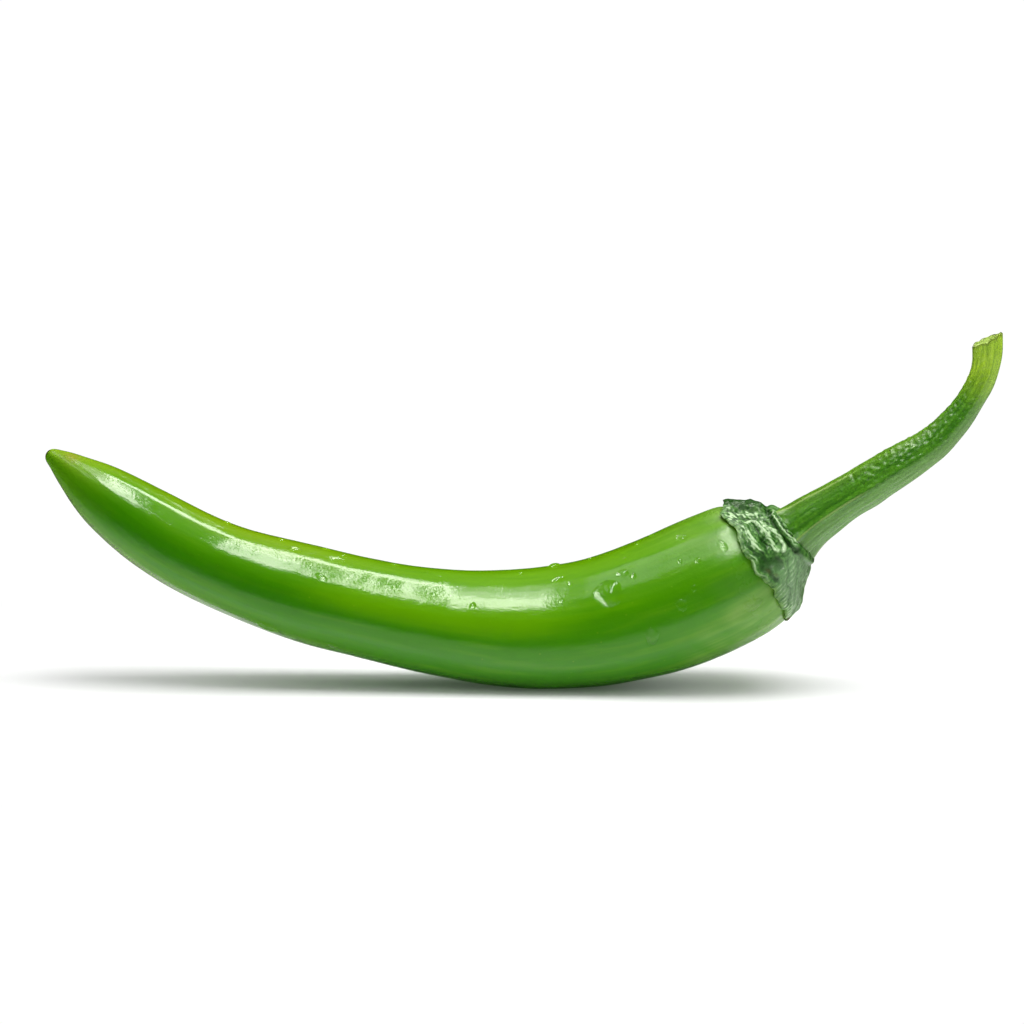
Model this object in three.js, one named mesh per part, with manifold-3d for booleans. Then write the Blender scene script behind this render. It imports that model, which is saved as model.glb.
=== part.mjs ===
// Green chilli pepper, whole, as picked: the pod, the calyx (green cap) and the stem (pedicel).
// Millimetres, +Z up. The pepper lies along X on its belly, blossom tip towards -X, stem towards +X.
// The origin is the centre of the small flat patch on the belly that it rests on, so Z = 0 is the surface under it.
// All three pieces are turned round one shared curved axis that runs from the blossom tip to the cut end of the stem.
import * as THREE from 'three';
import { mergeVertices } from 'three/addons/utils/BufferGeometryUtils.js';
import Module from 'manifold-3d';

// ---- driving dimensions, mm ------------------------------------------------------------------
// Axis of the pepper, from the blossom tip to past the cut end of the stem: [x, y, z].
const AXIS_POINTS = [
  [-74.46, 3.9, 34.9], [-73.25, 3.77, 34.17], [-70.4, 3.48, 31.98], [-67.44, 3.19, 29.73],
  [-64.51, 2.92, 27.56], [-61.72, 2.67, 25.59], [-58.72, 2.42, 23.62], [-55.64, 2.17, 21.76],
  [-49.22, 1.7, 18.53], [-41.99, 1.24, 15.81], [-34.74, 0.85, 13.7], [-27.55, 0.53, 12.02],
  [-20.63, 0.3, 10.66], [-13.59, 0.13, 9.48], [-6.32, 0.03, 8.72], [0.64, 0.0, 8.74],
  [7.73, -0.05, 9.62], [14.6, -0.2, 11.31], [21.49, -0.42, 13.77], [27.87, -0.72, 16.76],
  [32.52, -1.0, 19.38], [38.11, -1.45, 23.72], [41.84, -2.25, 26.66], [44.66, -3.0, 28.66],
  [48.96, -3.9, 31.52], [52.47, -4.5, 33.95], [57.02, -4.9, 36.87], [59.62, -5.05, 39.17],
  [62.14, -5.15, 42.24], [64.27, -5.2, 45.78], [65.5, -5.2, 49.13], [65.53, -5.2, 52.02],
  [65.4, -5.2, 53.99], [65.2, -5.2, 56.28],
];
// Profiles: [distance along the axis from the blossom tip, radius].
const POD_PROFILE = [
  [0, 0], [0.12, 0.52], [0.42, 0.92], [1.42, 1.45], [2.8, 2.05], [5.03, 2.9], [8.75, 4.16],
  [12.41, 5.02], [15.83, 5.58], [19.43, 5.95], [23.04, 6.19], [30.24, 6.49], [37.98, 6.94],
  [45.54, 7.33], [52.93, 7.47], [59.99, 7.64], [67.13, 8.11], [74.44, 8.74], [81.4, 9.25],
  [88.54, 9.67], [95.61, 10.12], [102.94, 10.44], [106.96, 10.46], [109.99, 10.33],
  [112.2, 10.12], [113.8, 9.85], [115.0, 9.5], [116.2, 8.85], [117.4, 7.9], [118.6, 6.6],
  [119.6, 5.0], [120.2, 3.5], [120.6, 1.8], [120.7, 0],
];
const CALYX_OUTER = [
  [115.0, 10.38], [116.0, 10.12], [117.3, 9.25], [118.8, 7.95], [120.2, 6.75],
  [121.1, 5.95], [121.5, 5.75], [121.95, 5.4], [122.2, 4.7], [122.2, 0],
];
const CALYX_INNER = [
  [121.07, 0], [120.97, 1.8], [120.6, 3.65], [119.95, 5.22], [118.9, 6.88], [117.65, 8.22],
  [116.35, 9.22], [115.0, 9.92],
];
const STEM_PROFILE = [
  [122.5, 0], [122.5, 4.0], [123.0, 4.2], [124.6, 4.0], [127.3, 3.68], [130.8, 3.3],
  [133.7, 3.21], [138.2, 3.11], [142.8, 2.89], [145.8, 2.62], [149.3, 2.36], [153.2, 2.08],
  [157.4, 1.97], [160.9, 2.07], [163.8, 2.3], [166.8, 2.4], [166.8, 0],
];
const CALYX_LOBES = 6; // points round the margin of the cap
const CALYX_WAVE = 0.45; // how far the margin waves along the axis
const CALYX_RIB = 0.03; // share of the radius by which the ribs of the cap stand out
const STEM_RIDGES = 5; // blunt ridges along the stem
const STEM_RIDGE = 0.045; // share of the radius by which they stand out
const STEM_CUT_AT = [65.45, -5.2, 52.83]; // centre of the slanting cut at the stem's end
const STEM_CUT_SLANT = THREE.MathUtils.degToRad(26); // the cut rises towards +X
const POD_SIDES = 36, CALYX_SIDES = 36, STEM_SIDES = 20;
const POD_RINGS = 50; // rings between the pod's ends

// ---- shared axis -----------------------------------------------------------------------------
const axis = new THREE.CatmullRomCurve3(AXIS_POINTS.map((p) => new THREE.Vector3(...p)), false, 'centripetal');
axis.arcLengthDivisions = 3000;
const axisLength = axis.getLength();

// Moves a body turned round +Y onto the curved axis: its Y becomes the distance along the axis.
function bend(geometry, shape = null) {
  const pos = geometry.getAttribute('position');
  const side = new THREE.Vector3(), upwards = new THREE.Vector3(), back = new THREE.Vector3(0, 1, 0);
  for (let i = 0; i < pos.count; i++) {
    let r = Math.hypot(pos.getX(i), pos.getZ(i)), s = pos.getY(i);
    const turn = Math.atan2(pos.getZ(i), pos.getX(i));
    if (shape) [r, s] = shape(r, s, turn);
    const u = THREE.MathUtils.clamp(s / axisLength, 0, 1);
    const at = axis.getPointAt(u), along = axis.getTangentAt(u);
    side.copy(back).addScaledVector(along, -back.dot(along)).normalize();
    upwards.crossVectors(along, side);
    at.addScaledVector(upwards, r * Math.cos(turn)).addScaledVector(side, r * Math.sin(turn));
    pos.setXYZ(i, at.x, at.y, at.z);
  }
  return geometry;
}

// ---- solids ----------------------------------------------------------------------------------
const wasm = await Module();
wasm.setup();

function toSolid(geometry) {
  const bare = geometry.clone();
  bare.deleteAttribute('normal');
  bare.deleteAttribute('uv');
  const merged = mergeVertices(bare, 1e-3);
  const index = merged.index.array, kept = [];
  for (let i = 0; i < index.length; i += 3) {
    const [a, b, c] = [index[i], index[i + 1], index[i + 2]];
    if (a !== b && b !== c && a !== c) kept.push(a, b, c);
  }
  return new wasm.Manifold(new wasm.Mesh({
    numProp: 3,
    vertProperties: new Float32Array(merged.getAttribute('position').array),
    triVerts: new Uint32Array(kept),
  }));
}

function toGeometry(solid) {
  const mesh = solid.getMesh();
  const geometry = new THREE.BufferGeometry();
  geometry.setAttribute('position', new THREE.BufferAttribute(new Float32Array(mesh.vertProperties), 3));
  geometry.setIndex(new THREE.BufferAttribute(new Uint32Array(mesh.triVerts), 1));
  geometry.computeVertexNormals();
  return geometry;
}

// A block whose lowest face passes through the given point, tilted about Y.
function blockAbove(point, slant, size) {
  const block = new THREE.BoxGeometry(size, size, size).translate(0, 0, size / 2);
  block.rotateY(-slant).translate(...point);
  return block;
}

// A lathe profile is given as [distance along the axis, radius].
const lathe = (profile, sides) =>
  new THREE.LatheGeometry(profile.map(([s, r]) => new THREE.Vector2(r, s)), sides);

// ---- pod: hollow in life, closed and solid here, with a small flat patch under the belly --------
const podLine = new THREE.SplineCurve(POD_PROFILE.map(([s, r]) => new THREE.Vector2(r, s)));
const podRings = [];
for (let i = 0; i <= POD_RINGS; i++) {
  const p = podLine.getPoint(i / POD_RINGS);
  podRings.push([p.y, i === 0 || i === POD_RINGS ? 0 : Math.max(p.x, 0.05)]);
}
const podSolid = toSolid(bend(lathe(podRings, POD_SIDES)));
const under = toSolid(new THREE.BoxGeometry(120, 60, 20).translate(0, 0, -10));
const podGeometry = toGeometry(podSolid.subtract(under));

// ---- calyx: a thin ribbed cap over the pod's shoulder, with a wavy pointed margin ----------------
const marginAt = CALYX_OUTER[0][0], collarAt = CALYX_OUTER[6][0];
const calyxShape = (r, s, turn) => {
  const edge = THREE.MathUtils.clamp((collarAt - s) / (collarAt - marginAt), 0, 1);
  const wave = Math.cos(CALYX_LOBES * turn + 0.4) * 0.8 + Math.cos(3 * turn + 1.1) * 0.35;
  const shift = -CALYX_WAVE * wave * edge * edge;
  const outer = s > 121.0 ? 0 : 1;
  const rib = 1 + outer * CALYX_RIB * Math.max(0, Math.cos(CALYX_LOBES * turn + 0.4)) * edge;
  return [r * rib - 0.35 * shift, s + shift];
};
const calyxGeometry = toGeometry(toSolid(bend(lathe([...CALYX_INNER, ...CALYX_OUTER], CALYX_SIDES), (r, s, turn) =>
  r < 1e-6 ? [r, s] : calyxShape(r, s, turn))));

// ---- stem: blunt ridges, narrowest near the end, then a slightly flared slanting cut -------------
const stemShape = (r, s, turn) => [r * (1 + STEM_RIDGE * Math.cos(STEM_RIDGES * turn + 0.6)), s];
const stemRings = [];
STEM_PROFILE.forEach((p, i) => {
  stemRings.push(p);
  const next = STEM_PROFILE[i + 1];
  if (next && next[0] - p[0] > 2.2) stemRings.push([(p[0] + next[0]) / 2, (p[1] + next[1]) / 2]);
});
const stemSolid = toSolid(bend(lathe(stemRings, STEM_SIDES), stemShape));
const stemGeometry = toGeometry(stemSolid.subtract(toSolid(blockAbove(STEM_CUT_AT, STEM_CUT_SLANT, 12))));

// ---- scene graph -----------------------------------------------------------------------------
const pepper = new THREE.Group();
pepper.name = 'green_chilli_pepper';

const pod = new THREE.Mesh(podGeometry, new THREE.MeshStandardMaterial({ color: 0x5c9a14, roughness: 0.28, metalness: 0 }));
pod.name = 'pod';
pepper.add(pod);

const crown = new THREE.Group(); // calyx and stem grow together at the pod's shoulder end
crown.name = 'crown';
pepper.add(crown);

const calyx = new THREE.Mesh(calyxGeometry, new THREE.MeshStandardMaterial({ color: 0x3f7a32, roughness: 0.5, metalness: 0 }));
calyx.name = 'calyx';
crown.add(calyx);

const stem = new THREE.Mesh(stemGeometry, new THREE.MeshStandardMaterial({ color: 0x4f8f2a, roughness: 0.42, metalness: 0 }));
stem.name = 'stem';
crown.add(stem);

export default pepper;
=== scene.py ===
import math

import bpy
import numpy as np
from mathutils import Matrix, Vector


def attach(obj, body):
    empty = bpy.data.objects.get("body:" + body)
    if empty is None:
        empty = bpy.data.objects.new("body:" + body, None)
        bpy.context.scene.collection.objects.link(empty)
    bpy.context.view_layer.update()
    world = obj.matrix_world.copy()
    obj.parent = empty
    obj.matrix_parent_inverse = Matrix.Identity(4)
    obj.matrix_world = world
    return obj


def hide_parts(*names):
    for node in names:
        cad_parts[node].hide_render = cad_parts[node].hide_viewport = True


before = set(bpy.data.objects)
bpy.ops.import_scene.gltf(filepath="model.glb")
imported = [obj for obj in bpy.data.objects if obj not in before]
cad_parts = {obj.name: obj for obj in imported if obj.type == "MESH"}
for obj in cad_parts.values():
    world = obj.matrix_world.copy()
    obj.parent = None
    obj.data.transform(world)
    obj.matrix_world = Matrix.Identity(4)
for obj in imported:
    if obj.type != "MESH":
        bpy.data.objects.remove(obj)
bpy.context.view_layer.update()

MM = 0.001
# ------------------------------------------------------------------ shape of the pepper, mm
# The same curved axis and profiles as the CAD part.
AXIS = np.array([
    [-74.46, 3.9, 34.9], [-73.25, 3.77, 34.17], [-70.4, 3.48, 31.98], [-67.44, 3.19, 29.73],
    [-64.51, 2.92, 27.56], [-61.72, 2.67, 25.59], [-58.72, 2.42, 23.62], [-55.64, 2.17, 21.76],
    [-49.22, 1.7, 18.53], [-41.99, 1.24, 15.81], [-34.74, 0.85, 13.7], [-27.55, 0.53, 12.02],
    [-20.63, 0.3, 10.66], [-13.59, 0.13, 9.48], [-6.32, 0.03, 8.72], [0.64, 0.0, 8.74],
    [7.73, -0.05, 9.62], [14.6, -0.2, 11.31], [21.49, -0.42, 13.77], [27.87, -0.72, 16.76],
    [32.52, -1.0, 19.38], [38.11, -1.45, 23.72], [41.84, -2.25, 26.66], [44.66, -3.0, 28.66],
    [48.96, -3.9, 31.52], [52.47, -4.5, 33.95], [57.02, -4.9, 36.87], [59.62, -5.05, 39.17],
    [62.14, -5.15, 42.24], [64.27, -5.2, 45.78], [65.5, -5.2, 49.13], [65.53, -5.2, 52.02],
    [65.4, -5.2, 53.99], [65.2, -5.2, 56.28]])
POD = np.array([
    [0, 0], [0.12, 0.52], [0.42, 0.92], [1.42, 1.45], [2.8, 2.05], [5.03, 2.9], [8.75, 4.16],
    [12.41, 5.02], [15.83, 5.58], [19.43, 5.95], [23.04, 6.19], [30.24, 6.49], [37.98, 6.94],
    [45.54, 7.33], [52.93, 7.47], [59.99, 7.64], [67.13, 8.11], [74.44, 8.74], [81.4, 9.25],
    [88.54, 9.67], [95.61, 10.12], [102.94, 10.44], [106.96, 10.46], [109.99, 10.33],
    [112.2, 10.12], [113.8, 9.85], [115.0, 9.5], [116.2, 8.85], [117.4, 7.9], [118.6, 6.6],
    [119.6, 5.0], [120.2, 3.5], [120.6, 1.8], [120.7, 0]])
STEM = np.array([
    [121.6, 4.35], [122.3, 4.3], [123.2, 4.12], [124.6, 3.92], [127.3, 3.68], [130.8, 3.3],
    [133.7, 3.21], [138.2, 3.11], [142.8, 2.89], [145.8, 2.62], [149.3, 2.36], [153.2, 2.08],
    [157.4, 1.97], [160.9, 2.05], [163.8, 2.24], [167.5, 2.3]])
CUT_AT, CUT_SLANT = np.array([65.45, -5.2, 52.83]), math.radians(26)


def spline(t, y, tq):
    """Natural cubic spline through y(t), at tq."""
    t, y = np.asarray(t, float), np.asarray(y, float)
    flat = y.ndim == 1
    y = y[:, None] if flat else y
    n, h = len(t), np.diff(t)
    a, b = np.zeros((n, n)), np.zeros((n, y.shape[1]))
    a[0, 0] = a[-1, -1] = 1
    for i in range(1, n - 1):
        a[i, i - 1:i + 2] = h[i - 1], 2 * (h[i - 1] + h[i]), h[i]
        b[i] = 3 * ((y[i + 1] - y[i]) / h[i] - (y[i] - y[i - 1]) / h[i - 1])
    c = np.linalg.solve(a, b)
    k = np.clip(np.searchsorted(t, tq, side="right") - 1, 0, n - 2)
    d = (np.asarray(tq) - t[k])[:, None]
    hk = h[k][:, None]
    slope = (y[k + 1] - y[k]) / hk - hk * (2 * c[k] + c[k + 1]) / 3
    out = y[k] + slope * d + c[k] * d ** 2 + (c[k + 1] - c[k]) / (3 * hk) * d ** 3
    return out[:, 0] if flat else out


def soften(values, sigma, step):
    n = int(4 * sigma / step)
    k = np.exp(-0.5 * (np.arange(-n, n + 1) * step / sigma) ** 2)
    k /= k.sum()
    v = values if values.ndim == 2 else values[:, None]
    out = np.stack([np.convolve(np.pad(v[:, i], n, mode="edge"), k, mode="valid") for i in range(v.shape[1])], 1)
    return out if values.ndim == 2 else out[:, 0]


def unit(v):
    return v / np.linalg.norm(v, axis=-1, keepdims=True)


def build_axis():
    first, last = unit(AXIS[0] - AXIS[2]), unit(AXIS[-1] - AXIS[-3])
    pts = np.vstack([AXIS[0] + first * 16, AXIS[0] + first * 8, AXIS, AXIS[-1] + last * 6, AXIS[-1] + last * 12])
    t = np.concatenate([[0], np.cumsum(np.linalg.norm(np.diff(pts, axis=0), axis=1))])
    p = soften(spline(t, pts, np.arange(0, t[-1], 0.1)), 1.5, 0.1)
    s = np.concatenate([[0], np.cumsum(np.linalg.norm(np.diff(p, axis=0), axis=1))])
    s -= s[np.argmin(np.linalg.norm(p - AXIS[0], axis=1))]
    along = unit(np.gradient(p, axis=0))
    back = np.array([0.0, 1.0, 0.0])
    side = unit(back - along * (along @ back)[:, None])
    return s, p, along, np.cross(along, side), side


A_S, A_P, A_T, A_N, A_B = build_axis()


def at(s):
    """Point, tangent, upward and backward directions of the axis at s."""
    take = lambda q: np.stack([np.interp(s, A_S, q[:, i]) for i in range(3)], -1)
    return take(A_P), unit(take(A_T)), unit(take(A_N)), unit(take(A_B))


def place(s, turn, r):
    """turn 0 is up, 90 degrees is the back (+Y), 180 down, 270 the front."""
    p, _, n, b = at(s)
    return p + (r * np.cos(turn))[..., None] * n + (r * np.sin(turn))[..., None] * b


def profile(points, mirror_start, mirror_end, steps):
    """A smooth curve through (s, r), with rings at the wanted spacings."""
    q = points
    if mirror_start:
        q = np.vstack([(points[1:4] * [1, -1])[::-1], q])
    if mirror_end:
        q = np.vstack([q, (points[-4:-1] * [1, -1])[::-1]])
    t = np.concatenate([[0], np.cumsum(np.linalg.norm(np.diff(q, axis=0), axis=1))])
    a = t[3] if mirror_start else t[0]
    b = t[-4] if mirror_end else t[-1]
    fine = np.linspace(a, b, 6000)
    c = spline(t, q, fine)
    gap = steps(c[:, 0])
    pace = np.concatenate([[0], np.cumsum(np.diff(fine) * 2 / (gap[1:] + gap[:-1]))])
    n = int(math.ceil(pace[-1]))
    pick = np.linspace(0, pace[-1], n + 1)
    return np.interp(pick, pace, c[:, 0]), np.interp(pick, pace, c[:, 1])


def waves(p, length, seed, n=26, spread=0.35):
    """A smooth random field of unit strength with bumps about `length` apart."""
    rng = np.random.default_rng(seed)
    out = np.zeros(p.shape[:-1])
    for _ in range(n):
        k = unit(rng.normal(size=p.shape[-1])) * 2 * math.pi / (length * (1 + spread * rng.uniform(-1, 1)))
        out += np.cos(p @ k + rng.uniform(0, 6.283))
    return out * math.sqrt(2 / n)


def ramp(x, a, b):
    t = np.clip((x - a) / (b - a), 0, 1)
    return t * t * (3 - 2 * t)


def lumps(x, centre, width):
    return np.exp(-0.5 * ((x - centre) / width) ** 2)


def turn_gap(turn, centre_deg):
    return np.degrees(np.angle(np.exp(1j * (turn - math.radians(centre_deg)))))


POD_T = np.concatenate([[0], np.cumsum(np.linalg.norm(np.diff(POD, axis=0), axis=1))])


def pod_radius(s):
    return np.interp(s, POD_RING_S, POD_RING_R)


POD_RING_S, POD_RING_R = profile(
    POD, True, True, lambda s: np.interp(s, [0, 1, 6, 20, 110, 117, 121], [0.07, 0.12, 0.22, 0.33, 0.33, 0.35, 0.7]))


def pod_skin(s, turn, r, off=0.0):
    """The pod's surface with its lumps, its faint lengthwise folds and the settled patch under the belly."""
    skin = np.stack([s, 9 * np.cos(turn), 9 * np.sin(turn)], -1)
    grow = ramp(r, 0.3, 5.0)
    r = r + grow * (0.10 * (0.5 + 0.5 * ramp(s, 38, 62)) * waves(skin, 24, 3) + 0.020 * (0.5 + 0.5 * ramp(s, 38, 62)) * waves(skin, 9.5, 4) + 0.004 * waves(skin, 2.6, 5))
    rng = np.random.default_rng(11)
    folds = sum(np.cos(k * turn + rng.uniform(0, 6.283) + 0.6 * np.sin(s / rng.uniform(14, 30) + rng.uniform(0, 6.283))) for k in (7, 9, 11, 14, 17))
    r = r + grow * folds * (0.012 + 0.03 * ramp(s, 92, 112))
    r = r + 0.10 * ramp(s, 88, 108) * np.cos(5 * turn + 1.0)
    # the low swelling under the fore part
    r = r + 0.22 * lumps(s, 60, 5) * np.exp(-(turn_gap(turn, 180) / 45) ** 2)
    p = place(s, turn, r + off)
    z = p[..., 2]
    p[..., 2] = np.where(z < 4, 0.5 * (z + np.sqrt(z * z + 0.03)), z + 0.0)
    return p


def grid_mesh(name, points, extra=None, start_pole=None, end_pole=None, flip=False):
    """points is rings x sectors x 3, in mm; each end is closed by a pole or by a flat fan."""
    rings, sectors = points.shape[:2]
    verts = points.reshape(-1, 3)
    i = np.arange(rings - 1)[:, None] * sectors
    j = np.arange(sectors)[None, :]
    k = (j + 1) % sectors
    quads = np.stack([i + j, i + k, i + sectors + k, i + sectors + j], -1).reshape(-1, 4)
    caps, more = [], []
    if start_pole is not None:
        more.append(start_pole)
        c = len(verts)
        caps += [[c, (m + 1) % sectors, m] for m in range(sectors)]
    if end_pole is not None:
        c = len(verts) + len(more)
        more.append(end_pole)
        o = (rings - 1) * sectors
        caps += [[c, o + m, o + (m + 1) % sectors] for m in range(sectors)]
    verts = np.vstack([verts] + [np.asarray(m)[None] for m in more])
    faces = quads.tolist() + caps
    if flip:
        faces = [f[::-1] for f in faces]
    me = bpy.data.meshes.new(name)
    me.from_pydata((verts * MM).tolist(), [], faces)
    me.update()
    me.polygons.foreach_set("use_smooth", [True] * len(me.polygons))
    for key, values in (extra or {}).items():
        values = np.asarray(values, float)
        if values.ndim == points.ndim:
            att = me.attributes.new(key, "FLOAT_VECTOR", "POINT")
            flat = values.reshape(-1, 3)
            tail = [flat[:sectors].mean(0)] * (start_pole is not None) + [flat[-sectors:].mean(0)] * (end_pole is not None)
            att.data.foreach_set("vector", np.vstack([flat] + [t[None] for t in tail]).ravel())
        else:
            att = me.attributes.new(key, "FLOAT", "POINT")
            flat = values.ravel()
            tail = [flat[:sectors].mean()] * (start_pole is not None) + [flat[-sectors:].mean()] * (end_pole is not None)
            att.data.foreach_set("value", np.concatenate([flat, tail]))
    ob = bpy.data.objects.new(name, me)
    bpy.context.collection.objects.link(ob)
    return ob


def check_out(ob):
    """Turns a closed mesh's faces outwards."""
    me = ob.data
    n = len(me.vertices)
    co = np.empty(n * 3)
    me.vertices.foreach_get("co", co)
    co = co.reshape(-1, 3)
    me.calc_loop_triangles()
    tri = np.empty(len(me.loop_triangles) * 3, int)
    me.loop_triangles.foreach_get("vertices", tri)
    tri = tri.reshape(-1, 3)
    a, b, c = co[tri[:, 0]], co[tri[:, 1]], co[tri[:, 2]]
    if np.einsum("ij,ij->i", a, np.cross(b, c)).sum() < 0:
        me.flip_normals()
    return ob


# ------------------------------------------------------------------ materials
def material(name):
    m = bpy.data.materials.new(name)
    m.use_nodes = True
    t = m.node_tree
    t.nodes.clear()
    out = t.nodes.new("ShaderNodeOutputMaterial")
    bsdf = t.nodes.new("ShaderNodeBsdfPrincipled")
    t.links.new(bsdf.outputs[0], out.inputs[0])
    return m, t, bsdf


class Nodes:
    """Short hands for the node graphs below."""

    def __init__(self, tree):
        self.t = tree

    def _set(self, socket, value):
        if isinstance(value, bpy.types.NodeSocket):
            self.t.links.new(value, socket)
        else:
            socket.default_value = value

    def attr(self, name, vector=False):
        n = self.t.nodes.new("ShaderNodeAttribute")
        n.attribute_name = name
        return n.outputs["Vector" if vector else "Fac"]

    def noise(self, vector, scale, detail=2.0, rough=0.5, distort=0.0):
        n = self.t.nodes.new("ShaderNodeTexNoise")
        self._set(n.inputs["Vector"], vector)
        n.inputs["Scale"].default_value = scale
        n.inputs["Detail"].default_value = detail
        n.inputs["Roughness"].default_value = rough
        n.inputs["Distortion"].default_value = distort
        return n.outputs["Fac"]

    def cells(self, vector, scale, feature="F1", random=1.0):
        n = self.t.nodes.new("ShaderNodeTexVoronoi")
        n.feature = feature
        self._set(n.inputs["Vector"], vector)
        n.inputs["Scale"].default_value = scale
        n.inputs["Randomness"].default_value = random
        return n.outputs["Distance"]

    def stretch(self, vector, x, y, z):
        n = self.t.nodes.new("ShaderNodeMapping")
        self._set(n.inputs["Vector"], vector)
        n.inputs["Scale"].default_value = (x, y, z)
        return n.outputs[0]

    def span(self, value, a, b, c=0.0, d=1.0, smooth=True):
        n = self.t.nodes.new("ShaderNodeMapRange")
        n.interpolation_type = "SMOOTHSTEP" if smooth else "LINEAR"
        self._set(n.inputs["Value"], value)
        for k, v in (("From Min", a), ("From Max", b), ("To Min", c), ("To Max", d)):
            n.inputs[k].default_value = v
        return n.outputs[0]

    def math(self, op, a, b=0.0):
        n = self.t.nodes.new("ShaderNodeMath")
        n.operation = op
        self._set(n.inputs[0], a)
        self._set(n.inputs[1], b)
        return n.outputs[0]

    def mix(self, fac, a, b, mode="MIX"):
        n = self.t.nodes.new("ShaderNodeMix")
        n.data_type = "RGBA"
        n.blend_type = mode
        self._set(n.inputs[0], fac)
        self._set(n.inputs[6], a if isinstance(a, bpy.types.NodeSocket) else (*a, 1.0))
        self._set(n.inputs[7], b if isinstance(b, bpy.types.NodeSocket) else (*b, 1.0))
        return n.outputs[2]

    def bump(self, height, distance, strength=1.0, under=None):
        n = self.t.nodes.new("ShaderNodeBump")
        n.inputs["Strength"].default_value = strength
        n.inputs["Distance"].default_value = distance
        self._set(n.inputs["Height"], height)
        if under is not None:
            self._set(n.inputs["Normal"], under)
        return n.outputs[0]


def pod_material():
    m, t, bsdf = material("pod_skin")
    g = Nodes(t)
    skin, lift, along, tip_tone_and_top_light, crown = g.attr("skin", True), g.attr("lift"), g.attr("along"), g.attr("tip"), g.attr("crown")
    painted_shade_green, fresh, painted_light_green = (0.043, 0.222, 0.0002), (0.078, 0.278, 0.0006), (0.130, 0.325, 0.002)
    broad = g.noise(g.stretch(skin, 0.5, 1, 1), 0.09, 2.0)
    streak = g.noise(g.stretch(skin, 0.10, 1.6, 1.6), 0.55, 3.0)
    # painted light and shade: the green is graded by lift, how far the skin faces up, from painted shade underneath to
    # painted light on top, varied by a broad random tone
    level = g.math("ADD", lift, g.math("MULTIPLY", g.math("SUBTRACT", broad, 0.5), 0.25))
    col = g.mix(g.span(level, -0.10, 0.62), painted_shade_green, fresh)
    col = g.mix(g.span(level, 0.55, 1.05, 0, 0.75), col, painted_light_green)
    col = g.mix(g.span(streak, 0.45, 0.75, 0, 0.22), col, (0.15, 0.36, 0.004))
    col = g.mix(g.span(streak, 0.5, 0.25, 0, 0.22), col, (0.035, 0.19, 0.001))
    # painted shade: darker green on the flanks of the fore part, on the sides that face about level
    painted_flank_shade = g.math("MULTIPLY", g.span(along, 0.52, 0.30), g.math("MULTIPLY", g.span(lift, -0.45, -0.1), g.span(lift, 0.62, 0.02)))
    col = g.mix(g.math("MULTIPLY", painted_flank_shade, 0.60), col, (0.018, 0.152, 0.0002))
    # painted sheen: a lighter stretch along the middle, on the sides that face level to up
    painted_middle_sheen = g.math("MULTIPLY", g.math("MULTIPLY", g.span(along, 0.34, 0.46), g.span(along, 0.76, 0.64)), g.math("MULTIPLY", g.span(lift, -0.1, 0.25), g.span(lift, 0.85, 0.5)))
    col = g.mix(g.math("MULTIPLY", painted_middle_sheen, 0.7), col, (0.125, 0.345, 0.0006))
    # painted light: yellower along the top of the fore part, where it faces up; painted floor reflection: paler,
    # yellower under its belly
    fore = g.span(along, 0.55, 0.25)
    col = g.mix(g.math("MULTIPLY", fore, g.span(lift, 0.62, 0.98, 0, 0.6)), col, (0.23, 0.36, 0.003))
    col = g.mix(g.math("MULTIPLY", fore, g.span(lift, -0.35, -0.85, 0, 0.45)), col, (0.11, 0.27, 0.002))
    # fine pale pores
    pores = g.cells(g.stretch(skin, 1, 1, 1), 0.85)
    few = g.noise(skin, 0.35, 1.0)
    dots = g.math("MULTIPLY", g.span(pores, 0.16, 0.06), g.span(few, 0.5, 0.7))
    col = g.mix(g.math("MULTIPLY", dots, 0.25), col, (0.26, 0.44, 0.03))
    # lighter, yellower skin below the cap: partly its own paler tone, mostly painted floor reflection on the underside
    # and painted sheen on top; and at the tip, stronger on its upper side as painted light
    near = g.math("MULTIPLY", crown, g.span(streak, 0.3, 0.7, 0.3, 0.65))
    col = g.mix(near, col, (0.22, 0.39, 0.07))
    col = g.mix(g.math("MULTIPLY", tip_tone_and_top_light, 0.8), col, (0.24, 0.40, 0.008))
    col = g.mix(g.attr("bruise"), col, (0.30, 0.25, 0.03))
    col = g.mix(g.attr("scar"), col, (0.05, 0.045, 0.008))
    t.links.new(col, bsdf.inputs["Base Color"])
    rough = g.span(g.noise(skin, 0.5, 3.0), 0.3, 0.7, 0.10, 0.15, False)
    rough = g.math("ADD", rough, g.span(along, 0.88, 0.945, 0, 0.16))
    t.links.new(rough, bsdf.inputs["Roughness"])
    bsdf.inputs["IOR"].default_value = 1.48
    bsdf.inputs["Coat Weight"].default_value = 0.08
    bsdf.inputs["Coat Roughness"].default_value = 0.08
    fine = g.bump(g.noise(skin, 2.6, 2.0), 0.00005, 0.35)
    fine = g.bump(g.noise(g.stretch(skin, 0.25, 1, 1), 1.2, 2.0), 0.0001, 0.35, fine)
    t.links.new(fine, bsdf.inputs["Normal"])
    return m


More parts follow.
